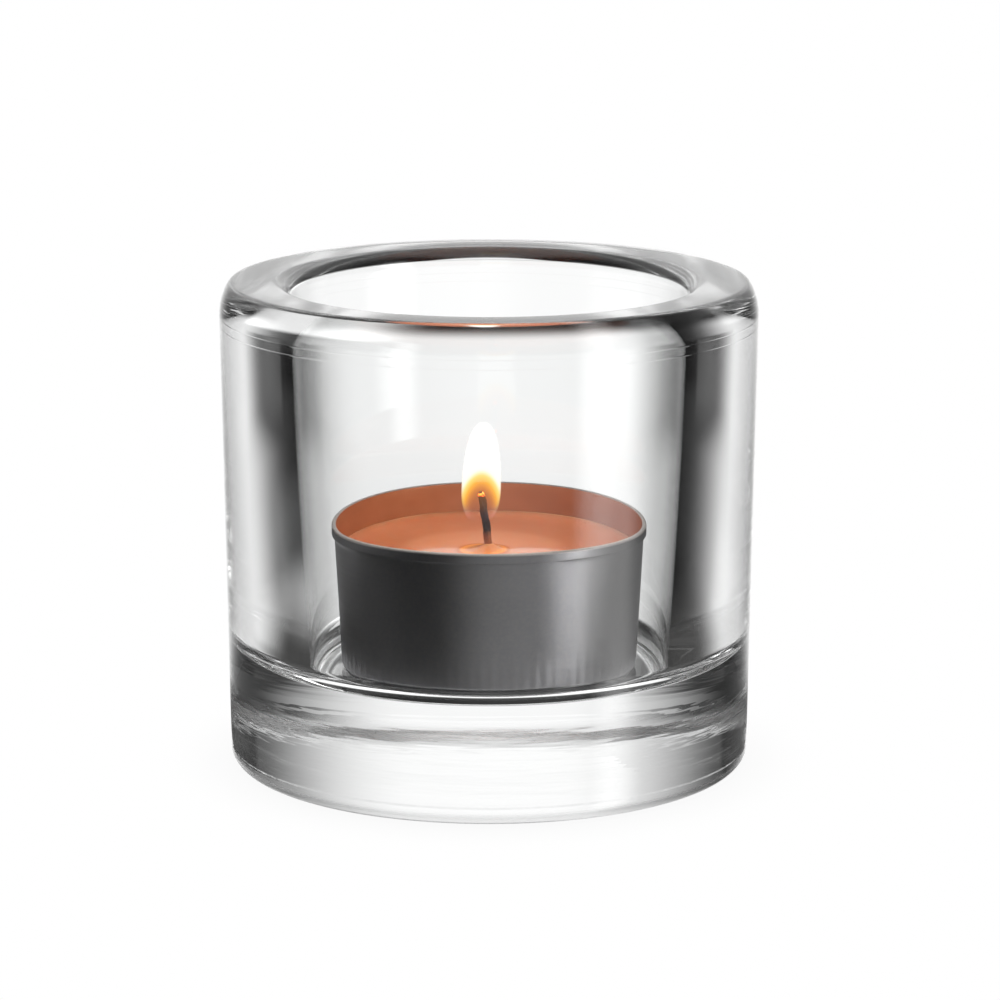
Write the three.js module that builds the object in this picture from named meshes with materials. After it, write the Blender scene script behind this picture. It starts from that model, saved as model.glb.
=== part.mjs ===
// Tealight holder: a thick pressed-glass tumbler with a draughted cavity and a solid base,
// holding a loose tealight (drawn aluminium cup, coloured wax, braided wick, steel sustainer).
//
// Millimetres, +Z up. The origin is the centre of the glass's flat underside, and Z is the
// common axis of the glass and the tealight.

import * as THREE from 'three';

// ---- driving dimensions, mm ------------------------------------------------------------

// Glass body, outside
const GLASS_HEIGHT = 60;
const GLASS_R_TOP = 32.9; // outer radius just under the rim
const GLASS_R_BASE = 32.1; // outer radius just above the heel
const HEEL_R = 1.6; // rounded lower edge, radial reach
const HEEL_H = 1.9; // rounded lower edge, height

// Glass body, rim: arcs met one after another from the outer wall over to the mouth.
// Each has a radius and ends where its surface normal is at the given angle from +Z.
const SHOULDER_Z = 55.9; // where the straight outer wall ends
const SHOULDER = { radius: 6.6, until: 57, steps: 3 };
const EDGE = { radius: 0.9, until: 1.6, steps: 3 };
const CREST = { radius: 40, until: -5, steps: 2 }; // all but flat, falling to the mouth
const MOUTH_ROUND = { radius: 2.8, until: -60, steps: 3 };
const MOUTH_EDGE = { radius: 0.9, until: -90, steps: 2 };

// Glass body, cavity
const CAVITY_R_LOW = 22.6; // cavity radius just above the floor's round
const CAVITY_POWER = 1.6; // the wall draws in faster towards the floor
const FLOOR_Z = 12.6; // cavity floor above the underside
const FLOOR_ROUND_R = 3.4; // round between floor and wall, radial reach
const FLOOR_ROUND_H = 3; // round between floor and wall, height

// Tealight cup
const CUP_REST_GAP = 0.1; // clearance under the cup where it stands on the floor
const CUP_HEIGHT = 18;
const CUP_R_BOTTOM = 18.5; // outside, above the bottom corner
const CUP_R_TOP = 19.3; // outside, below the folded lip
const CUP_WALL = 0.3;
const CUP_CORNER = 1.1; // outside corner radius at the bottom
const LIP_R = 19.6; // folded lip, outside
const LIP_H = 1.2; // folded lip, height
const LIP_ROUND = 0.15; // softening of the lip's edges
const BOTTOM_PANEL_R = 13.5; // raised panel pressed into the cup's bottom
const BOTTOM_PANEL_H = 0.35;

// Wax
const WAX_TOP_BELOW_LIP = 4.3; // burnt-down level below the lip
const WAX_SIDE_GAP = 0.12; // clearance to the cup's wall
const WAX_FLOOR_GAP = 0.12; // clearance to the cup's bottom and to the sustainer
const WAX_CORNER = 0.9;

// Wick sustainer: a pressed steel disc with a crimped neck
const SUSTAINER_R = 6.2;
const SUSTAINER_T = 0.3;
const NECK_R = 1.45;
const NECK_H = 3.2;

// Wick
const WICK_R = 0.5;
const WICK_CLEARANCE = 0.15; // in the neck and in the wax
const WICK_HEIGHT_OVER_WAX = 7.6;
const WICK_LEAN = 1.05; // sideways travel of the tip

const GLASS_SEGMENTS = 60;
const CUP_SEGMENTS = 48;
const SMALL_SEGMENTS = 24;

// ---- profile helpers -------------------------------------------------------------------

const P = (r, z) => new THREE.Vector2(r, z);

// Part of an ellipse about (cr, cz), from angle a0 to a1 in degrees.
function corner(cr, cz, reach, height, a0, a1, steps) {
  const points = [];
  for (let i = 0; i <= steps; i += 1) {
    const a = THREE.MathUtils.degToRad(a0 + ((a1 - a0) * i) / steps);
    points.push(P(cr + reach * Math.cos(a), cz + height * Math.sin(a)));
  }
  return points;
}

// Lathe about +Z from a profile in (radius, height).
function lathe(profile, segments) {
  const points = profile.map((p) => P(Math.abs(p.x) < 1e-9 ? 0 : p.x, p.y));
  const geometry = new THREE.LatheGeometry(points, segments);
  geometry.rotateX(Math.PI / 2);
  return geometry;
}

function mesh(name, geometry, color, roughness, metalness, extra = {}) {
  const material = new THREE.MeshStandardMaterial({ color, roughness, metalness, ...extra });
  const m = new THREE.Mesh(geometry, material);
  m.name = name;
  return m;
}

// ---- glass body ------------------------------------------------------------------------

// The rim's profile, from the top of the outer wall to the top of the cavity wall.
function rim() {
  const points = [P(GLASS_R_TOP, SHOULDER_Z)];
  let from = 90;
  for (const arc of [SHOULDER, EDGE, CREST, MOUTH_ROUND, MOUTH_EDGE]) {
    const start = points.at(-1);
    for (let i = 1; i <= arc.steps; i += 1) {
      const a = THREE.MathUtils.degToRad(from);
      const b = THREE.MathUtils.degToRad(from + ((arc.until - from) * i) / arc.steps);
      points.push(P(
        start.x + arc.radius * (Math.sin(b) - Math.sin(a)),
        start.y + arc.radius * (Math.cos(b) - Math.cos(a)),
      ));
    }
    from = arc.until;
  }
  const lift = GLASS_HEIGHT - Math.max(...points.map((p) => p.y));
  return points.map((p, i) => (i === 0 ? p : P(p.x, p.y + lift)));
}

// The cavity wall between its top and the floor's round, both left out.
function cavityWall(top, bottom) {
  const points = [];
  for (const t of [0.3, 0.55, 0.8]) {
    const r = top.x + (bottom.x - top.x) * t ** CAVITY_POWER;
    points.push(P(r, top.y + (bottom.y - top.y) * t));
  }
  return points;
}

function glassBody() {
  const over = rim();
  const floorRound = corner(
    CAVITY_R_LOW - FLOOR_ROUND_R, FLOOR_Z + FLOOR_ROUND_H,
    FLOOR_ROUND_R, FLOOR_ROUND_H, 0, -90, 5,
  );
  const profile = [
    P(0, 0),
    ...corner(GLASS_R_BASE - HEEL_R, HEEL_H, HEEL_R, HEEL_H, -90, 0, 4),
    ...over,
    ...cavityWall(over.at(-1), floorRound[0]),
    ...floorRound,
    P(0, FLOOR_Z),
  ];
  return mesh('glass_body', lathe(profile, GLASS_SEGMENTS), 0xf2f5f5, 0.02, 0, {
    transparent: true,
    opacity: 0.35,
  });
}

// ---- tealight, built about its own underside -------------------------------------------

const BODY_TOP = CUP_HEIGHT - LIP_H;

function tealightCup() {
  const inner = CUP_CORNER - CUP_WALL;
  const profile = [
    P(0, BOTTOM_PANEL_H),
    P(BOTTOM_PANEL_R, BOTTOM_PANEL_H),
    P(BOTTOM_PANEL_R + 0.5, 0),
    ...corner(CUP_R_BOTTOM - CUP_CORNER, CUP_CORNER, CUP_CORNER, CUP_CORNER, -90, 0, 4),
    P(CUP_R_TOP, BODY_TOP - LIP_ROUND),
    P(LIP_R - 0.1, BODY_TOP),
    P(LIP_R, BODY_TOP + LIP_ROUND),
    P(LIP_R, CUP_HEIGHT - LIP_ROUND),
    P(LIP_R - LIP_ROUND, CUP_HEIGHT),
    P(CUP_R_TOP - CUP_WALL + LIP_ROUND, CUP_HEIGHT),
    P(CUP_R_TOP - CUP_WALL, CUP_HEIGHT - LIP_ROUND),
    ...corner(CUP_R_BOTTOM - CUP_CORNER, CUP_CORNER, inner, inner, 0, -90, 3),
    P(BOTTOM_PANEL_R + 0.7, CUP_WALL),
    P(BOTTOM_PANEL_R + 0.2, BOTTOM_PANEL_H + CUP_WALL),
    P(0, BOTTOM_PANEL_H + CUP_WALL),
  ];
  return mesh('tealight_cup', lathe(profile, CUP_SEGMENTS), 0x5c5c60, 0.38, 1);
}

// Inside radius of the cup's wall at a height above its underside.
function cupInside(z) {
  const t = (z - CUP_CORNER) / (CUP_HEIGHT - LIP_ROUND - CUP_CORNER);
  return CUP_R_BOTTOM - CUP_WALL + t * (CUP_R_TOP - CUP_R_BOTTOM);
}

const CUP_FLOOR = BOTTOM_PANEL_H + CUP_WALL;
const SUSTAINER_Z = CUP_FLOOR + WAX_FLOOR_GAP;
const WAX_TOP = CUP_HEIGHT - WAX_TOP_BELOW_LIP;

function wickSustainer() {
  const bore = WICK_R + WICK_CLEARANCE;
  const profile = [
    P(bore, 0),
    P(SUSTAINER_R, 0),
    P(SUSTAINER_R, SUSTAINER_T),
    P(NECK_R + 0.6, SUSTAINER_T),
    P(NECK_R, SUSTAINER_T + 0.6),
    P(NECK_R - 0.15, NECK_H - 0.2),
    P(NECK_R - 0.35, NECK_H),
    P(bore, NECK_H),
    P(bore, 0),
  ];
  const m = mesh('wick_sustainer', lathe(profile, SMALL_SEGMENTS), 0xa4a7aa, 0.3, 1);
  m.position.z = SUSTAINER_Z;
  return m;
}

function wax() {
  const bottom = CUP_FLOOR + WAX_FLOOR_GAP;
  const side = cupInside(bottom + WAX_CORNER) - WAX_SIDE_GAP;
  const top = cupInside(WAX_TOP) - WAX_SIDE_GAP;
  const bore = WICK_R + WICK_CLEARANCE;
  const overDisc = SUSTAINER_Z + SUSTAINER_T + WAX_FLOOR_GAP;
  const overNeck = SUSTAINER_Z + NECK_H + WAX_FLOOR_GAP;
  const profile = [
    P(SUSTAINER_R + WAX_SIDE_GAP, bottom),
    ...corner(side - WAX_CORNER, bottom + WAX_CORNER, WAX_CORNER, WAX_CORNER, -90, 0, 3),
    P(top, WAX_TOP),
    P(bore, WAX_TOP),
    P(bore, overNeck),
    P(NECK_R + WAX_SIDE_GAP, overNeck),
    P(NECK_R + WAX_SIDE_GAP, SUSTAINER_Z + SUSTAINER_T + 0.8),
    P(NECK_R + 0.6 + WAX_SIDE_GAP, overDisc),
    P(SUSTAINER_R + WAX_SIDE_GAP, overDisc),
    P(SUSTAINER_R + WAX_SIDE_GAP, bottom),
  ];
  return mesh('wax', lathe(profile, CUP_SEGMENTS), 0xaa6248, 0.28, 0);
}

// Straight through the sustainer and the wax, then leaning over to its charred tip.
function wick() {
  const foot = SUSTAINER_Z + 0.2;
  const tip = WAX_TOP + WICK_HEIGHT_OVER_WAX;
  const lean = (t) => -WICK_LEAN * t ** 1.25;
  const path = [new THREE.Vector3(0, 0, foot), new THREE.Vector3(0, 0, WAX_TOP - 0.4)];
  for (const t of [0.15, 0.35, 0.55, 0.75, 1]) {
    path.push(new THREE.Vector3(lean(t), 0, WAX_TOP + t * (tip - WAX_TOP)));
  }
  const outline = new THREE.Shape();
  outline.absarc(0, 0, WICK_R, 0, Math.PI * 2, false);
  const geometry = new THREE.ExtrudeGeometry(outline, {
    extrudePath: new THREE.CatmullRomCurve3(path),
    steps: 16,
    bevelEnabled: false,
    curveSegments: 4,
  });
  return mesh('wick', geometry, 0x2a211d, 0.95, 0);
}

// ---- assembly --------------------------------------------------------------------------

const holder = new THREE.Group();
holder.add(glassBody());

const tealight = new THREE.Group();
tealight.position.z = FLOOR_Z + CUP_REST_GAP;
tealight.add(tealightCup(), wax(), wickSustainer(), wick());

const part = new THREE.Group();
part.add(holder, tealight);

export default part;
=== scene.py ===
"""Tealight holder: thick clear glass with a lit tealight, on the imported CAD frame."""

import math

import bpy
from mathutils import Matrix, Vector, noise


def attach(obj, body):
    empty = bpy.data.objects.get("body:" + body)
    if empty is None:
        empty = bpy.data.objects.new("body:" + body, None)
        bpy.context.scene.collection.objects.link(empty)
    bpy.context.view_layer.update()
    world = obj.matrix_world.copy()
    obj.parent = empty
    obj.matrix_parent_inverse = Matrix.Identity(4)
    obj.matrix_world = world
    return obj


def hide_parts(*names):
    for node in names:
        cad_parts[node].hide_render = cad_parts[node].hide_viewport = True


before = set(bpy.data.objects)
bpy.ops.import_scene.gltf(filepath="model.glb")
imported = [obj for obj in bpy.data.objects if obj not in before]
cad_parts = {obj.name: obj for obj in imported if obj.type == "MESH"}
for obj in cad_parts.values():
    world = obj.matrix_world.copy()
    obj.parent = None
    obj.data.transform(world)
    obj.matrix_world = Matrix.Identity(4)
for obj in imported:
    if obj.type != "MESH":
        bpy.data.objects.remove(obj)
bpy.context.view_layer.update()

MM = 0.001
HEIGHT = 60.0  # glass height, mm


# ---- node helpers ------------------------------------------------------------------------

class Tree:
    """A small wrapper round a node tree, so that materials read as plain code."""

    def __init__(self, tree):
        self.tree = tree
        self.tree.nodes.clear()

    def node(self, kind, **settings):
        n = self.tree.nodes.new("ShaderNode" + kind)
        for key, value in settings.items():
            setattr(n, key, value)
        return n

    def put(self, socket, value):
        if value is None:
            return
        if isinstance(value, bpy.types.NodeSocket):
            self.tree.links.new(value, socket)
        else:
            socket.default_value = value

    def math(self, op, a, b=None, c=None):
        n = self.node("Math", operation=op)
        for i, value in enumerate((a, b, c)):
            self.put(n.inputs[i], value)
        return n.outputs[0]

    def ramp(self, x, low, high, out_low=0.0, out_high=1.0, smooth=True):
        n = self.node("MapRange")
        n.interpolation_type = "SMOOTHSTEP" if smooth else "LINEAR"
        self.put(n.inputs["Value"], x)
        self.put(n.inputs["From Min"], low)
        self.put(n.inputs["From Max"], high)
        self.put(n.inputs["To Min"], out_low)
        self.put(n.inputs["To Max"], out_high)
        return n.outputs[0]

    def colours(self, x, *stops):
        n = self.node("ValToRGB")
        ramp = n.color_ramp
        ramp.elements[0].position, ramp.elements[0].color = stops[0][0], (*stops[0][1], 1)
        ramp.elements[1].position, ramp.elements[1].color = stops[-1][0], (*stops[-1][1], 1)
        for position, colour in stops[1:-1]:
            ramp.elements.new(position).color = (*colour, 1)
        self.put(n.inputs[0], x)
        return n.outputs[0]

    def mix(self, factor, a, b):
        n = self.node("Mix", data_type="RGBA", blend_type="MIX")
        self.put(n.inputs[0], factor)
        self.put(n.inputs[6], a if isinstance(a, bpy.types.NodeSocket) else (*a, 1))
        self.put(n.inputs[7], b if isinstance(b, bpy.types.NodeSocket) else (*b, 1))
        return n.outputs[2]

    def noise(self, vector, scale, detail=2.0, rough=0.5):
        n = self.node("TexNoise")
        self.put(n.inputs["Vector"], vector)
        n.inputs["Scale"].default_value = scale
        n.inputs["Detail"].default_value = detail
        n.inputs["Roughness"].default_value = rough
        n.inputs["Distortion"].default_value = 0.0
        return n.outputs[0]

    def object_xyz(self):
        coords = self.node("TexCoord").outputs["Object"]
        split = self.node("SeparateXYZ")
        self.put(split.inputs[0], coords)
        return coords, split.outputs

    def stretched(self, vector, x, y, z):
        n = self.node("Mapping")
        self.put(n.inputs["Vector"], vector)
        n.inputs["Scale"].default_value = (x, y, z)
        return n.outputs[0]

    def length(self, x, y):
        """How far (x, y) is from the origin."""
        squares = self.math("ADD", self.math("MULTIPLY", x, x), self.math("MULTIPLY", y, y))
        return self.math("SQRT", squares)

    def radius_and_height(self):
        """Distance from the Z axis and height, both in metres."""
        _, (x, y, z) = self.object_xyz()
        return self.length(x, y), z

    def combine(self, x, y, z):
        n = self.node("CombineXYZ")
        for i, value in enumerate((x, y, z)):
            self.put(n.inputs[i], value)
        return n.outputs[0]

    def ring_vector(self, per_turn, per_metre_z):
        """Noise coordinates that close on themselves round Z: long round it, fine up it."""
        _, (x, y, z) = self.object_xyz()
        turn = self.math("ARCTAN2", y, x)
        return self.combine(
            self.math("MULTIPLY", self.math("COSINE", turn), per_turn),
            self.math("MULTIPLY", self.math("SINE", turn), per_turn),
            self.math("MULTIPLY", z, per_metre_z),
        )

    def bump(self, height, strength, distance, normal=None):
        n = self.node("Bump")
        n.inputs["Strength"].default_value = strength
        n.inputs["Distance"].default_value = distance
        self.put(n.inputs["Height"], height)
        self.put(n.inputs["Normal"], normal)
        return n.outputs[0]

    def principled(self, **inputs):
        n = self.node("BsdfPrincipled")
        for key, value in inputs.items():
            self.put(n.inputs[key.replace("_", " ")], value)
        self.surface(n)
        return n

    def surface(self, shader, kind="OutputMaterial"):
        self.put(self.node(kind).inputs["Surface"], shader.outputs[0])

    def emission(self, level):
        """A surface that glows in grey, at the given level."""
        glow = self.node("Emission")
        self.put(glow.inputs["Color"], self.combine(level, level, level))
        self.surface(glow)


def material(name):
    mat = bpy.data.materials.new(name)
    mat.use_nodes = True
    return mat, Tree(mat.node_tree)


# ---- mesh helpers ------------------------------------------------------------------------

def corner(cr, cz, reach, height, a0, a1, steps):
    """A run of an ellipse about (cr, cz), in mm, from angle a0 to a1 in degrees."""
    points = []
    for i in range(steps + 1):
        a = math.radians(a0 + (a1 - a0) * i / steps)
        points.append((cr + reach * math.cos(a), cz + height * math.sin(a)))
    return points


def line(a, b, steps):
    """Points strictly between a and b."""
    return [(a[0] + (b[0] - a[0]) * i / steps, a[1] + (b[1] - a[1]) * i / steps)
            for i in range(1, steps)]


def plain_object(name, verts, faces):
    mesh = bpy.data.meshes.new(name)
    mesh.from_pydata(verts, [], faces)
    mesh.update()
    obj = bpy.data.objects.new(name, mesh)
    bpy.context.scene.collection.objects.link(obj)
    return obj


def smooth_object(name, verts, faces):
    obj = plain_object(name, verts, faces)
    obj.data.polygons.foreach_set("use_smooth", [True] * len(obj.data.polygons))
    obj.data.update()
    return obj


def tidy(profile, least=1e-4):
    """The profile without repeated points."""
    kept = [profile[0]]
    for p in profile[1:]:
        if abs(p[0] - kept[-1][0]) + abs(p[1] - kept[-1][1]) > least:
            kept.append(p)
    return kept


def lathe(name, profile, segments, shape=None, base_z=0.0):
    """Turns a profile in mm, from axis to axis. shape(r, z, angle) may move a point."""
    profile = tidy(profile)
    verts, faces, rows = [], [], []
    for r, z in profile:
        if r < 1e-6:
            rows.append([len(verts)] * segments)
            verts.append((0.0, 0.0, (z + base_z) * MM))
            continue
        row = []
        for k in range(segments):
            a = math.tau * k / segments
            rr, zz = shape(r, z, a) if shape else (r, z)
            row.append(len(verts))
            verts.append((rr * MM * math.cos(a), rr * MM * math.sin(a), (zz + base_z) * MM))
        rows.append(row)
    for low, high in zip(rows, rows[1:]):
        for k in range(segments):
            n = (k + 1) % segments
            quad = [low[k], low[n], high[n], high[k]]
            face = [v for i, v in enumerate(quad) if v not in quad[:i]]
            if len(face) > 2:
                faces.append(face)
    return smooth_object(name, verts, faces)


def tube(name, rings, around, ring):
    """A closed tube. ring(i, angle) gives the point, in mm, at an angle on ring i."""
    verts, faces = [], []
    for i in range(rings + 1):
        verts += [Vector(ring(i, math.tau * k / around)) * MM for k in range(around)]
    for i in range(rings):
        for k in range(around):
            n = (k + 1) % around
            faces.append([i * around + k, i * around + n,
                          (i + 1) * around + n, (i + 1) * around + k])
    faces.append(list(range(around))[::-1])
    faces.append([rings * around + k for k in range(around)])
    return smooth_object(name, verts, faces)


# ---- glass body --------------------------------------------------------------------------

R_TOP, R_BASE = 32.9, 32.1
HEEL_R, HEEL_H = 1.6, 1.9
SHOULDER_Z = 55.9
# The rim's arcs: radius, and the angle from +Z that the surface normal reaches.
RIM_ARCS = [(6.6, 57, 16), (0.9, 1.6, 14), (40.0, -5, 10), (2.8, -60, 18), (0.9, -90, 8)]
CAVITY_R_LOW, CAVITY_POWER = 22.6, 1.6
FLOOR_Z, FLOOR_ROUND_R, FLOOR_ROUND_H = 12.6, 3.4, 3.0
MOULD_LINES = ((55.85, 0.12), (54.75, 0.10))  # height and half width
TORN_LINE = (2.1, 0.35)  # height and half width


def rim_profile():
    points, start = [(R_TOP, SHOULDER_Z)], 90.0
    for radius, until, steps in RIM_ARCS:
        r0, z0 = points[-1]
        a = math.radians(start)
        for i in range(1, steps + 1):
            b = math.radians(start + (until - start) * i / steps)
            points.append((r0 + radius * (math.sin(b) - math.sin(a)),
                           z0 + radius * (math.cos(b) - math.cos(a))))
        start = until
    lift = HEIGHT - max(z for _, z in points)
    return points[:1] + [(r, z + lift) for r, z in points[1:]]


def glass_profile():
    profile = [(0.0, 0.0)] + line((0, 0), (R_BASE - HEEL_R, 0), 10)
    profile += corner(R_BASE - HEEL_R, HEEL_H, HEEL_R, HEEL_H, -90, 0, 20)
    profile += line((R_BASE, HEEL_H), (R_TOP, SHOULDER_Z), 30)
    profile += rim_profile()
    mouth_r, top = profile[-1]
    bottom = FLOOR_Z + FLOOR_ROUND_H
    for i in range(1, 30):
        t = i / 30
        r = mouth_r + (CAVITY_R_LOW - mouth_r) * t ** CAVITY_POWER
        profile.append((r, top + (bottom - top) * t))
    profile += corner(CAVITY_R_LOW - FLOOR_ROUND_R, bottom,
                      FLOOR_ROUND_R, FLOOR_ROUND_H, 0, -90, 24)
    profile += line((CAVITY_R_LOW - FLOOR_ROUND_R, FLOOR_Z), (0, FLOOR_Z), 10)
    return profile + [(0.0, FLOOR_Z)]


def glass_material():
    """Clear pressed glass: faint flow lines round the base and two fine mould lines."""
    mat, t = material("clear_glass")
    radius, z = t.radius_and_height()
    flow = t.noise(t.ring_vector(1.1, 420), 1.0, detail=3.0, rough=0.55)
    low = t.math("MULTIPLY", t.ramp(z, 2 * MM, 4 * MM), t.ramp(z, 10 * MM, 14 * MM, 1.0, 0.0))
    outside = t.ramp(radius, 31.2 * MM, 31.6 * MM)
    flow = t.math("MULTIPLY", flow, t.math("MULTIPLY", low, outside))
    seam = t.math("MULTIPLY", outside, mould_lines(t, z))
    normal = t.bump(flow, 1.0, 0.060 * MM)
    normal = t.bump(seam, 1.0, 0.014 * MM, normal)
    normal = t.bump(torn_line(t, z), 1.0, 0.035 * MM, normal)
    satin_rim = t.ramp(z, 58.3 * MM, 59.1 * MM, 0.0, 0.15)
    worn_heel = t.math("MULTIPLY", t.ramp(z, 1.0 * MM, 2.2 * MM, 0.32, 0.0),
                       t.ramp(radius, 30.3 * MM, 30.6 * MM))
    rough = t.math("ADD", satin_rim, worn_heel)
    shader = t.principled(
        Base_Color=(0.985, 0.99, 0.988, 1), Roughness=rough, IOR=1.52, Normal=normal,
    )
    shader.inputs["Transmission Weight"].default_value = 1.0
    return mat


def ridge(t, z, height, half):
    """1 at a height in mm, fading to 0 at half a width above and below it."""
    off = t.math("ABSOLUTE", t.math("SUBTRACT", z, height * MM))
    return t.ramp(off, 0.0, half * MM, 1.0, 0.0)


def torn_line(t, z):
    """The slightly torn line where the heel's round meets the wall."""
    torn = t.noise(t.ring_vector(26.0, 900), 1.0, detail=3.0)
    return t.math("MULTIPLY", ridge(t, z, *TORN_LINE), torn)


def mould_lines(t, z):
    """Two fine ridges where the ring of the mould met its body."""
    upper, lower = (ridge(t, z, height, half) for height, half in MOULD_LINES)
    return t.math("ADD", upper, lower)


def make_glass():
    glass = lathe("glass_clear", glass_profile(), 288)
    glass.data.materials.append(glass_material())
    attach(glass, "holder")
    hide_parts("glass_body")


# ---- tealight ----------------------------------------------------------------------------

CUP_Z = FLOOR_Z + 0.1
CUP_H, CUP_R_LOW, CUP_R_HIGH, CUP_WALL, CUP_CORNER = 18.0, 18.5, 19.3, 0.22, 1.1
LIP_R, LIP_H = 19.6, 1.2
WAX_TOP = CUP_H - 4.3


def cup_outer(z):
    t = (z - CUP_CORNER) / (CUP_H - LIP_H - CUP_CORNER)
    return CUP_R_LOW + (CUP_R_HIGH - CUP_R_LOW) * t


def cup_shape(r, z, a):
    """Thin foil is never quite round: faint pleats at the corner and a soft waver."""
    if r < 12:
        return r, z
    low = max(0.0, 1 - z / 5.0)
    pleat = 0.035 * low * math.sin(96 * a)
    waver = 0.06 * noise.noise(Vector((2.2 * math.cos(a), 2.2 * math.sin(a), z * 0.09)))
    keep = 1.0 if r < LIP_R - 0.2 else 0.4
    return r + (pleat + waver) * keep - 0.03, z


def cup_profile():
    body = CUP_H - LIP_H
    inner = CUP_CORNER - CUP_WALL
    profile = [(0, 0.35), (4, 0.35), (9, 0.35), (13.3, 0.35), (13.6, 0.22), (13.9, 0.02)]
    profile += [(14.4, 0.0)]
    profile += corner(CUP_R_LOW - CUP_CORNER, CUP_CORNER, CUP_CORNER, CUP_CORNER, -90, 0, 10)
    profile += line((CUP_R_LOW, CUP_CORNER), (CUP_R_HIGH, body), 24)
    profile += [(CUP_R_HIGH, body - 0.12), (CUP_R_HIGH + 0.03, body - 0.05)]
    profile += corner(LIP_R - 0.16, body + 0.1, 0.16, 0.14, -90, 0, 5)
    profile += line((LIP_R, body + 0.1), (LIP_R, CUP_H - 0.16), 6)
    profile += corner(LIP_R - 0.2, CUP_H - 0.2, 0.2, 0.2, 0, 90, 6)
    top_in = CUP_R_HIGH - CUP_WALL
    profile += corner(top_in + 0.12, CUP_H - 0.12, 0.12, 0.12, 90, 180, 4)
    profile += line((top_in, CUP_H - 0.12), (CUP_R_LOW - CUP_WALL, CUP_CORNER), 20)
    profile += corner(CUP_R_LOW - CUP_CORNER, CUP_CORNER, inner, inner, 0, -90, 8)
    profile += [(14.5, CUP_WALL), (14.0, CUP_WALL + 0.02), (13.5, 0.5), (0, 0.55)]
    return profile


def foil_material():
    """Drawn foil: satin, with fine rings round it from the drawing die, and a painted warm
    highlight along the top of the lip.
    """
    mat, t = material("cup_aluminium")
    rings = t.noise(t.ring_vector(0.7, 5200), 1.0, detail=3.0, rough=0.6)
    blotch = t.noise(t.ring_vector(1.6, 120), 1.0, detail=3.0)
    tint = t.colours(blotch, (0.3, (0.30, 0.30, 0.315)), (0.7, (0.36, 0.355, 0.37)))
    rough = t.ramp(rings, 0.3, 0.75, 0.36, 0.44)
    normal = t.bump(rings, 0.4, 0.000004)
    normal = t.bump(blotch, 0.5, 0.00005, normal)
    grain = t.noise(t.object_xyz()[0], 2600, detail=3.0, rough=0.65)
    normal = t.bump(grain, 0.6, 0.000012, normal)
    tint = t.mix(t.ramp(grain, 0.35, 0.70, 0.0, 0.35), tint, (0.42, 0.385, 0.375))
    _, (_, _, z) = t.object_xyz()
    # Painted highlight: the top 0.3 mm of the rolled lip is made lighter and warmer, and a
    # little rougher.
    edge = t.ramp(z, (CUP_Z + CUP_H - 0.30) * MM, (CUP_Z + CUP_H - 0.12) * MM)
    tint = t.mix(edge, tint, (0.80, 0.74, 0.70))
    rough = t.math("ADD", rough, t.math("MULTIPLY", edge, 0.25))
    t.principled(Base_Color=tint, Metallic=1.0, Roughness=rough, Normal=normal)
    return mat


def waxed_foil_material():
    """Inside of the cup: bright foil under the film of wax that the melt leaves."""
    mat, t = material("cup_inside_waxed")
    film = t.noise(t.ring_vector(3.0, 320), 1.0, detail=4.0)
    tint = t.colours(film, (0.25, (0.40, 0.145, 0.066)), (0.8, (0.48, 0.185, 0.09)))
    normal = t.bump(film, 0.4, 0.0001)
    t.principled(Base_Color=tint, Metallic=0.35, Roughness=0.42, Normal=normal)
    return mat


def make_cup():
    cup = lathe("cup_foil", cup_profile(), 384, cup_shape, CUP_Z)
    cup.data.materials.append(foil_material())
    cup.data.materials.append(waxed_foil_material())
    for face in cup.data.polygons:
        z = face.center.z / MM - CUP_Z
        r = math.hypot(face.center.x, face.center.y) / MM
        if r < cup_outer(z) - 0.15 and 0.6 < z < CUP_H - 0.1:
            face.material_index = 1
    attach(cup, "tealight")
    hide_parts("tealight_cup")


WICK_R = 0.5
MENISCUS = 0.9  # mm the melt climbs the wick
POOL_X, POOL_R = -0.7, 3.1  # the clear melt round the wick's foot, also the middle of the painted flame light on the wax top


def wax_radius(z):
    """Outer radius of the wax at height z, just clear of the foil."""
    return cup_outer(z) - CUP_WALL - 0.05


def wax_level(r):
    """Height of the melt above WAX_TOP at radius r, in mm."""
    wall = wax_radius(WAX_TOP)
    at_wall = 0.55 * math.exp(-(wall - r) / 0.8)
    at_wick = MENISCUS * math.exp(-(r - WICK_R) / 0.9)
    return at_wall + at_wick


def wax_profile():
    wall, low = wax_radius(WAX_TOP), wax_radius(1.5)
    profile = [(0, 0.7), (low - 1.0, 0.7)]
    profile += corner(low - 0.9, 1.6, 0.9, 0.9, -90, 0, 6)
    profile += line((low, 1.6), (wall, WAX_TOP), 8)
    radii = [wall - 0.15 * i for i in range(22)]
    radii += [wall - 3.3 - 0.6 * i for i in range(18)]
    radii += [3.6 - 0.14 * i for i in range(23)]
    for r in radii:
        if r > WICK_R * 0.6:
            profile.append((r, WAX_TOP + wax_level(max(r, WICK_R))))
    return profile + [(0.0, WAX_TOP + MENISCUS)]


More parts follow.
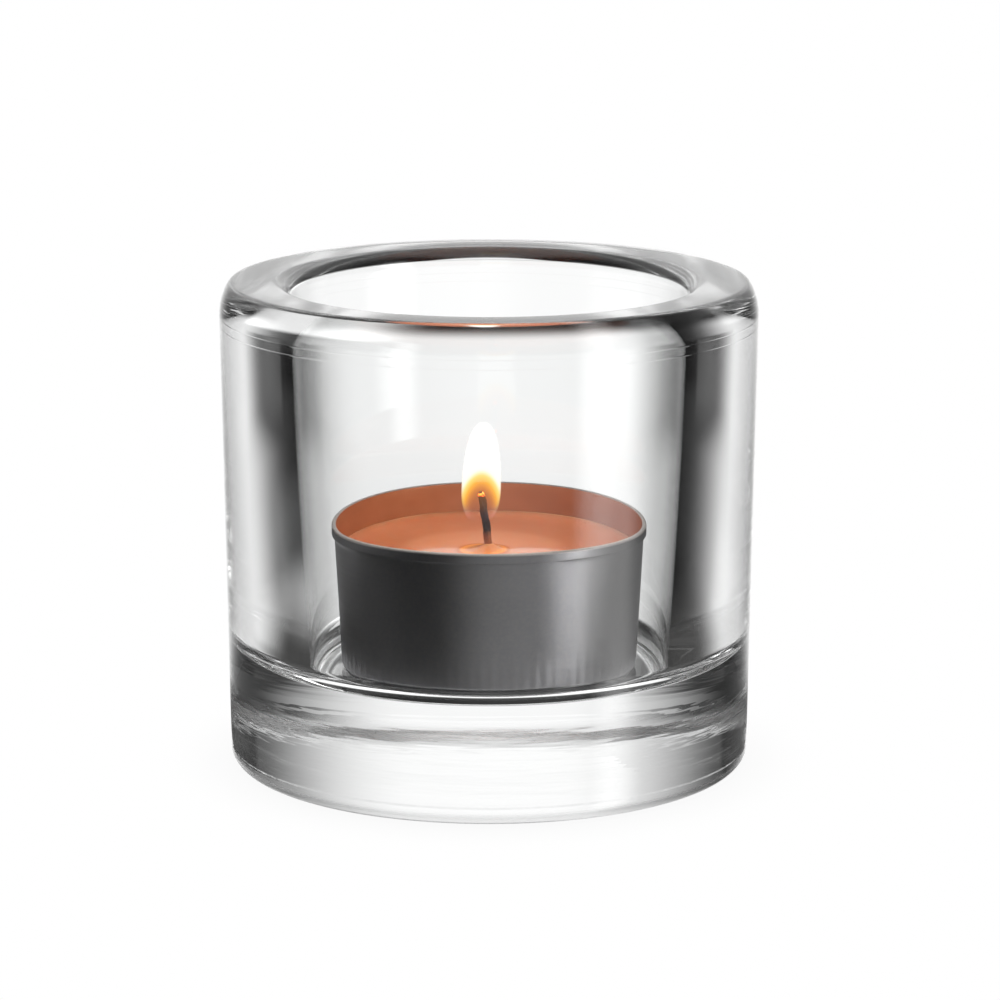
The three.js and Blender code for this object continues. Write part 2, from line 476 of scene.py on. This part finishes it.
def wax_material():
    """Copper-brown paraffin, molten: glossy on top, light soaking in below, with painted flame
    light on the top round the wick.
    """
    mat, t = material("copper_wax")
    coords, (x, y, z) = t.object_xyz()
    cloud = t.noise(coords, 160, detail=3.0)
    grain = t.noise(coords, 900, detail=2.0)
    mixed = t.math("ADD", t.math("MULTIPLY", cloud, 0.8), t.math("MULTIPLY", grain, 0.2))
    tint = t.colours(mixed, (0.3, (0.225, 0.072, 0.032)), (0.7, (0.27, 0.092, 0.044)))
    off = t.length(t.math("SUBTRACT", x, POOL_X * MM), y)
    # Painted flame light: the wax top is lighter round the flame's foot and fades outwards to
    # 4×POOL_R; the ring at POOL_R is the edge of the real melt.
    melt_and_flame_glow = t.colours(t.ramp(off, 0.0, POOL_R * 4 * MM, smooth=False),
                     (0.0, (0.36, 0.13, 0.045)), (0.15, (0.34, 0.12, 0.04)),
                     (0.22, (0.50, 0.17, 0.03)), (0.25, (0.30, 0.09, 0.025)),
                     (0.29, (0.36, 0.15, 0.085)), (0.75, (0.30, 0.115, 0.06)),
                     (1.0, (0.25, 0.083, 0.039)))
    # Reach of the painted flame light: full out to 3×POOL_R, gone by 4×POOL_R.
    near = t.ramp(off, POOL_R * 3 * MM, POOL_R * 4 * MM, 1.0, 0.0)
    top = t.ramp(z, (CUP_Z + WAX_TOP - 0.3) * MM, (CUP_Z + WAX_TOP - 0.1) * MM)
    tint = t.mix(t.math("MULTIPLY", near, top), tint, melt_and_flame_glow)
    normal = t.bump(cloud, 0.15, 0.0003)
    shader = t.principled(Base_Color=tint, Roughness=0.06, IOR=1.44, Normal=normal)
    shader.inputs["Subsurface Weight"].default_value = 0.6
    shader.inputs["Subsurface Radius"].default_value = (1.0, 0.35, 0.2)
    shader.inputs["Subsurface Scale"].default_value = 0.003
    return mat


def make_wax():
    wax = lathe("wax_melt", wax_profile(), 192, None, CUP_Z)
    wax.data.materials.append(wax_material())
    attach(wax, "tealight")
    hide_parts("wax")


DISC_R, NECK_R, NECK_H = 6.2, 1.45, 3.2
SUSTAINER_Z = 0.77  # above the cup's underside


def tin_material():
    """Pressed tinplate with a faint mottle."""
    mat, t = material("tinned_steel")
    coords, _ = t.object_xyz()
    mottle = t.noise(coords, 1400, detail=2.0)
    tint = t.colours(mottle, (0.3, (0.56, 0.57, 0.58)), (0.7, (0.66, 0.66, 0.67)))
    rough = t.ramp(mottle, 0.2, 0.8, 0.28, 0.36)
    t.principled(Base_Color=tint, Metallic=1.0, Roughness=rough)
    return mat


def make_sustainer():
    """The pressed disc and crimped neck that hold the wick's foot, deep in the wax."""
    profile = [(0, 0), (DISC_R, 0), (DISC_R, 0.3), (NECK_R + 0.6, 0.3), (NECK_R, 0.9),
               (NECK_R - 0.15, NECK_H - 0.2), (NECK_R - 0.35, NECK_H), (0, NECK_H)]
    tin = lathe("sustainer_tin", profile, 64, None, CUP_Z + SUSTAINER_Z)
    tin.data.materials.append(tin_material())
    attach(tin, "tealight")
    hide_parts("wick_sustainer")


WICK_HEIGHT, WICK_LEAN = 7.6, 1.05


def wick_point(t):
    """Centre of the wick, in mm, from the wax (t 0) to its tip (t 1)."""
    return Vector((-WICK_LEAN * max(t, 0) ** 1.25, 0.0, CUP_Z + WAX_TOP + t * WICK_HEIGHT))


def wick_radius(t, a):
    """A braid of three strands, thinning and crumbling towards the charred tip."""
    braid = 0.07 * math.cos(3 * a + 16 * t) + 0.05 * math.cos(3 * a - 16 * t + 1.1)
    char = 0.06 * noise.noise(Vector((3 * math.cos(a), 3 * math.sin(a), t * 14)))
    swell = 1.0 - 0.12 * t
    return min(WICK_R * swell + (braid + char) * 0.8, WICK_R + 0.04)


def make_wick():
    rings, around = 90, 28
    start, end = -0.3, 0.985

    def ring(i, a):
        t = start + (end - start) * i / rings
        centre = wick_point(t)
        close = 1.0 if i < rings - 4 else max(0.25, math.sqrt((rings + 0.5 - i) / 5))
        r = wick_radius(t, a) * close
        return centre.x + r * math.cos(a), r * math.sin(a), centre.z

    wick = tube("wick_braid", rings, around, ring)
    wick.data.materials.append(wick_material())
    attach(wick, "tealight")
    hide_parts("wick")


def wick_material():
    """Soaked and brown at the foot, charred black above, glowing at the very tip."""
    mat, t = material("charred_wick")
    coords, (_, _, z) = t.object_xyz()
    foot = (CUP_Z + WAX_TOP) * MM
    up = t.ramp(z, foot, foot + WICK_HEIGHT * MM, smooth=False)
    fibre = t.noise(t.stretched(coords, 1, 1, 0.35), 5200, detail=3.0)
    crumb = t.noise(coords, 2600, detail=3.0)
    edge = t.math("ADD", up, t.math("MULTIPLY", t.math("SUBTRACT", crumb, 0.5), 0.10))
    base = t.colours(edge, (0.0, (0.42, 0.16, 0.07)), (0.25, (0.28, 0.10, 0.045)),
                     (0.34, (0.012, 0.009, 0.009)), (0.9, (0.014, 0.011, 0.012)))
    tint = t.mix(t.math("MULTIPLY", fibre, 0.35), base, (0.05, 0.035, 0.03))
    glow = t.colours(edge, (0.0, (0, 0, 0)), (0.90, (0, 0, 0)),
                     (0.94, (1.0, 0.12, 0.01)), (1.0, (1.0, 0.55, 0.12)))
    embers = t.ramp(t.noise(coords, 1500, detail=1.0), 0.45, 0.58)
    light = t.mix(embers, (0.0, 0.0, 0.0), glow)
    normal = t.bump(fibre, 0.8, 0.00012)
    shader = t.principled(Base_Color=tint, Roughness=0.85, Normal=normal,
                             Emission_Color=light)
    shader.inputs["Emission Strength"].default_value = 6.0
    return mat


# ---- flame -------------------------------------------------------------------------------

FLAME_FOOT = CUP_Z + WAX_TOP + 3.4
FLAME_TIP = CUP_Z + WAX_TOP + 16.3
FLAME_HALF_WIDTH = 2.48
FLAME_WAIST = 0.33  # where along its height the flame is widest


def flame_half_width(t):
    """Half width of the flame, in mm, from its foot (t 0) to its tip (t 1)."""
    if t > FLAME_WAIST:
        up = (t - FLAME_WAIST) / (1 - FLAME_WAIST)
        side = 1 - 0.8 * up ** 2 - 0.2 * up ** 6
    else:
        side = 1 - ((FLAME_WAIST - t) / 0.36) ** 2.2
    return FLAME_HALF_WIDTH * math.sqrt(max(side, 0.0))


def flame_axis(t):
    """Sideways place of the flame's axis: over the leaning wick, then nearly upright."""
    return -1.12 + 0.45 * t


def flame_material():
    """White above; round the wick an orange arch that the wick shows through."""
    mat, t = material("flame")
    _, (_, _, z) = t.object_xyz()
    up = t.ramp(z, FLAME_FOOT * MM, FLAME_TIP * MM, smooth=False)
    facing = t.node("LayerWeight")
    facing.inputs["Blend"].default_value = 0.5
    core = t.math("SUBTRACT", 1.0, facing.outputs["Facing"])
    off_axis = t.math("SUBTRACT", 1.0, t.math("MULTIPLY", core, core))
    rise = t.math("MULTIPLY", t.math("SUBTRACT", up, 0.10), 1 / 0.36)
    rise = t.math("MULTIPLY", rise, rise)
    arch = t.math("ADD", t.math("MULTIPLY", off_axis, 1.25), rise)
    colour = t.colours(t.math("MULTIPLY", arch, 0.4),
                       (0.0, (0.85, 0.27, 0.08)), (0.26, (1.0, 0.36, 0.06)),
                       (0.40, (1.0, 0.46, 0.05)), (0.54, (1.0, 0.68, 0.20)),
                       (0.68, (1.0, 0.97, 0.82)), (1.0, (1.0, 1.0, 0.95)))
    fringe = t.math("MULTIPLY", t.ramp(core, 0.30, 0.05), t.ramp(up, 0.30, 0.60, 1.0, 0.0))
    colour = t.mix(t.math("MULTIPLY", fringe, 0.9), colour, (1.0, 0.36, 0.05))
    low = t.ramp(up, 0.04, 0.22, 1.0, 0.0)
    colour = t.mix(t.math("MULTIPLY", low, 0.75), colour, (0.42, 0.36, 0.72))
    solid = t.ramp(arch, 0.35, 1.30, 0.14, 1.0)
    solid = t.math("MULTIPLY", solid, t.ramp(core, 0.0, 0.58))
    solid = t.math("MULTIPLY", solid, t.ramp(up, 0.03, 0.36))
    shader = t.principled(Base_Color=(0, 0, 0, 1), Roughness=1.0, Alpha=solid,
                             Emission_Color=colour)
    shader.inputs["Specular IOR Level"].default_value = 0.0
    shader.inputs["Emission Strength"].default_value = 1.25
    return mat


def make_flame():
    rings, around = 64, 48

    def ring(i, a):
        t = i / rings
        half = max(flame_half_width(t), 0.002)
        z = FLAME_FOOT + (FLAME_TIP - FLAME_FOOT) * t
        return flame_axis(t) + half * math.cos(a), half * math.sin(a), z

    flame = tube("flame_outer", rings, around, ring)
    flame.data.materials.append(flame_material())
    flame.visible_shadow = False
    flame.visible_glossy = False
    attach(flame, "tealight")


# ---- stage -------------------------------------------------------------------------------

FLOOR_LEVEL = -0.10 * MM
UNDER_LEVEL = -0.06 * MM  # between the floor and the glass


def flat_disc(name, radius, z, mat):
    """A disc of the studio, lying flat; radius and z in metres."""
    around = 96
    turns = [math.tau * k / around for k in range(around)]
    verts = [(radius * math.cos(a), radius * math.sin(a), z) for a in turns]
    disc = plain_object(name, verts, [tuple(range(around))])
    disc.data.materials.append(mat)
    return disc


def make_floor():
    """A pale sweep with the faintest contact shadow, which only the camera sees."""
    mat, t = material("floor")
    near = t.node("AmbientOcclusion", samples=8)
    near.inputs["Distance"].default_value = 0.012
    t.emission(t.ramp(near.outputs["AO"], 0.35, 0.95, 0.95, 1.0))
    floor = flat_disc("floor", 4.0, FLOOR_LEVEL, mat)
    floor.visible_transmission = False
    floor.visible_glossy = False
    floor.visible_diffuse = False


def make_under_light():
    """The light under the glass, dim in the middle, seen only through the glass."""
    mat, t = material("under_light")
    radius, _ = t.radius_and_height()
    t.emission(t.ramp(radius, 24.0 * MM, 26.2 * MM, 0.03, 1.25))
    under = flat_disc("under_light", 30.5 * MM, UNDER_LEVEL, mat)
    under.visible_camera = False
    under.visible_glossy = False
    under.visible_diffuse = False
    under.visible_shadow = False


# The black cards beside the glass, in metres: how far out they reach, and how far back.
CARD_NEAR, CARD_FAR, CARD_FRONT, CARD_BACK = 0.034, 0.100, -0.060, 0.052


def card_material(name):
    """Black felt that fades out towards the card's far, front and back edges."""
    mat, t = material(name)
    coords, (x, y, _) = t.object_xyz()
    felt = t.noise(coords, 900, detail=2.0)
    dark = t.node("BsdfPrincipled")
    t.put(dark.inputs["Base Color"], t.colours(felt, (0.3, (0.008, 0.008, 0.008)),
                                               (0.7, (0.014, 0.014, 0.014))))
    cover = t.math("MULTIPLY", t.ramp(y, 0.018, CARD_BACK, 1.0, 0.0),
                   t.ramp(y, CARD_FRONT, -0.020))
    cover = t.math("MULTIPLY", cover,
                   t.ramp(t.math("ABSOLUTE", x), 0.060, CARD_FAR, 1.0, 0.0))
    fade = t.node("MixShader")
    t.put(fade.inputs[0], cover)
    t.put(fade.inputs[1], t.node("BsdfTransparent").outputs[0])
    t.put(fade.inputs[2], dark.outputs[0])
    t.surface(fade)
    return mat


def make_card(name, side):
    """A black card lying beside the glass; only the glass sees it."""
    verts = [(side * x, y, UNDER_LEVEL) for x, y in
             ((CARD_NEAR, CARD_FRONT), (CARD_FAR, CARD_FRONT),
              (CARD_FAR, CARD_BACK), (CARD_NEAR, CARD_BACK))]
    card = plain_object(name, verts, [(0, 1, 2, 3)])
    card.data.materials.append(card_material(name))
    card.visible_camera = False
    card.visible_diffuse = False
    card.visible_shadow = False


# Where the backdrop's light starts to fall off and where it ends, in degrees from its
# middle: (seen through the walls, seen through the base).
WINDOW_FALL = ((12.0, 10.0), (41.0, 62.0))
# The soft panels, in degrees: middle, half width, soft edge, lowest, highest, soft edge up
# and down; then brightness. Azimuth 0 is behind the glass and 90 is at its right.
PANELS = (
    (122.0, 8.0, 7.0, -60.0, 35.0, 12.0, 3.6),
    (165.0, 28.0, 18.0, -60.0, 60.0, 15.0, 0.36),
    (0.0, 75.0, 30.0, 19.0, 68.0, 4.0, 0.75),
    (-90.0, 22.0, 6.0, -10.0, 5.0, 2.0, 0.8),
    (0.0, 180.0, 1.0, 66.0, 120.0, 8.0, 1.0),
    (-45.0, 33.0, 6.0, -36.0, -19.5, 1.5, 0.85),
)


def band(t, value, low, high, soft):
    """1 between low and high, with soft edges."""
    up = t.ramp(value, low - soft, low + soft)
    down = t.ramp(value, high - soft, high + soft, 1.0, 0.0)
    return t.math("MULTIPLY", up, down)


def panel(t, az, el, centre, half, soft, low, high, soft_el, value):
    off = t.math("WRAP", t.math("SUBTRACT", az, centre), 180.0, -180.0)
    side = t.ramp(t.math("ABSOLUTE", off), half - soft, half + soft, 1.0, 0.0)
    patch = t.math("MULTIPLY", side, band(t, el, low, high, soft_el))
    return t.math("MULTIPLY", patch, value)


def backdrop(t, side, el):
    """The bright backdrop, wider low down and up high than level with the glass."""
    wide = t.math("ADD", t.ramp(el, -15.0, -13.0, 1.0, 0.0), t.ramp(el, 0.0, 8.0))
    inner = t.ramp(wide, 0.0, 1.0, *WINDOW_FALL[0], smooth=False)
    outer = t.ramp(wide, 0.0, 1.0, *WINDOW_FALL[1], smooth=False)
    window = t.math("POWER", t.ramp(side, inner, outer, 1.0, 0.0), 1.5)
    window = t.math("MULTIPLY", window, band(t, el, -25.0, 19.0, 4.0))
    dip = t.math("MULTIPLY", band(t, el, 1.0, 11.0, 2.0), 0.12)
    return t.math("MULTIPLY", window, t.math("SUBTRACT", 1.0, dip))


def make_studio():
    """A bright backdrop behind the glass, dark beside it, with soft panels round it."""
    world = bpy.data.worlds.new("studio")
    bpy.context.scene.world = world
    world.use_nodes = True
    t = Tree(world.node_tree)
    split = t.node("SeparateXYZ")
    t.put(split.inputs[0], t.node("TexCoord").outputs["Generated"])
    x, y, z = split.outputs
    az = t.math("MULTIPLY", t.math("ARCTAN2", x, y), 180 / math.pi)
    el = t.math("MULTIPLY", t.math("ARCSINE", z), 180 / math.pi)
    side = t.math("ABSOLUTE", az)
    wing = t.math("MULTIPLY", t.ramp(side, 53.0, 56.0, 0.055, 0.0),
                  band(t, el, -13.5, 40.0, 1.0))
    level = t.math("ADD", wing, t.ramp(side, 75.0, 110.0, 0.008, 0.022))
    total = t.math("ADD", backdrop(t, side, el), level)
    for row in PANELS:
        total = t.math("ADD", total, panel(t, az, el, *row))
    seen = t.node("LightPath").outputs["Is Camera Ray"]
    total = t.math("ADD", t.math("MULTIPLY", total, t.math("SUBTRACT", 1.0, seen)), seen)
    sky = t.node("Background")
    t.put(sky.inputs["Color"], t.combine(total, total, total))
    t.surface(sky, "OutputWorld")


def make_lamp(name, location, size, power, colour, target):
    lamp = bpy.data.lights.new(name, "AREA")
    lamp.size = size
    lamp.energy = power
    lamp.color = colour
    obj = bpy.data.objects.new(name, lamp)
    obj.location = location
    obj.rotation_euler = (Vector(target) - Vector(location)).to_track_quat("-Z", "Y").to_euler()
    obj.visible_glossy = False
    obj.visible_transmission = False
    bpy.context.scene.collection.objects.link(obj)


def make_camera():
    data = bpy.data.cameras.new("camera")
    data.sensor_width = 36.0
    data.lens = 149.36
    data.shift_x = 0.011
    data.shift_y = 0.0075
    data.clip_start = 0.01
    camera = bpy.data.objects.new("camera", data)
    camera.location = (0.0, -0.5, 0.14267)
    camera.rotation_euler = (math.pi / 2 - 0.219, 0.0, 0.0)
    bpy.context.scene.collection.objects.link(camera)
    bpy.context.scene.camera = camera


def set_look():
    scene = bpy.context.scene
    scene.view_settings.view_transform = "Standard"
    scene.cycles.max_bounces = 24
    scene.cycles.transmission_bounces = 24
    scene.cycles.glossy_bounces = 16
    scene.cycles.transparent_max_bounces = 24


make_glass()
make_cup()
make_wax()
make_sustainer()
make_wick()
make_flame()
make_floor()
make_under_light()
make_card("card_left", -1)
make_card("card_right", 1)
make_studio()
make_lamp("overhead", (0.05, -0.1, 0.5), 0.25, 6.0, (1.0, 0.97, 0.93), (0, 0, 0.03))
make_camera()
set_look()
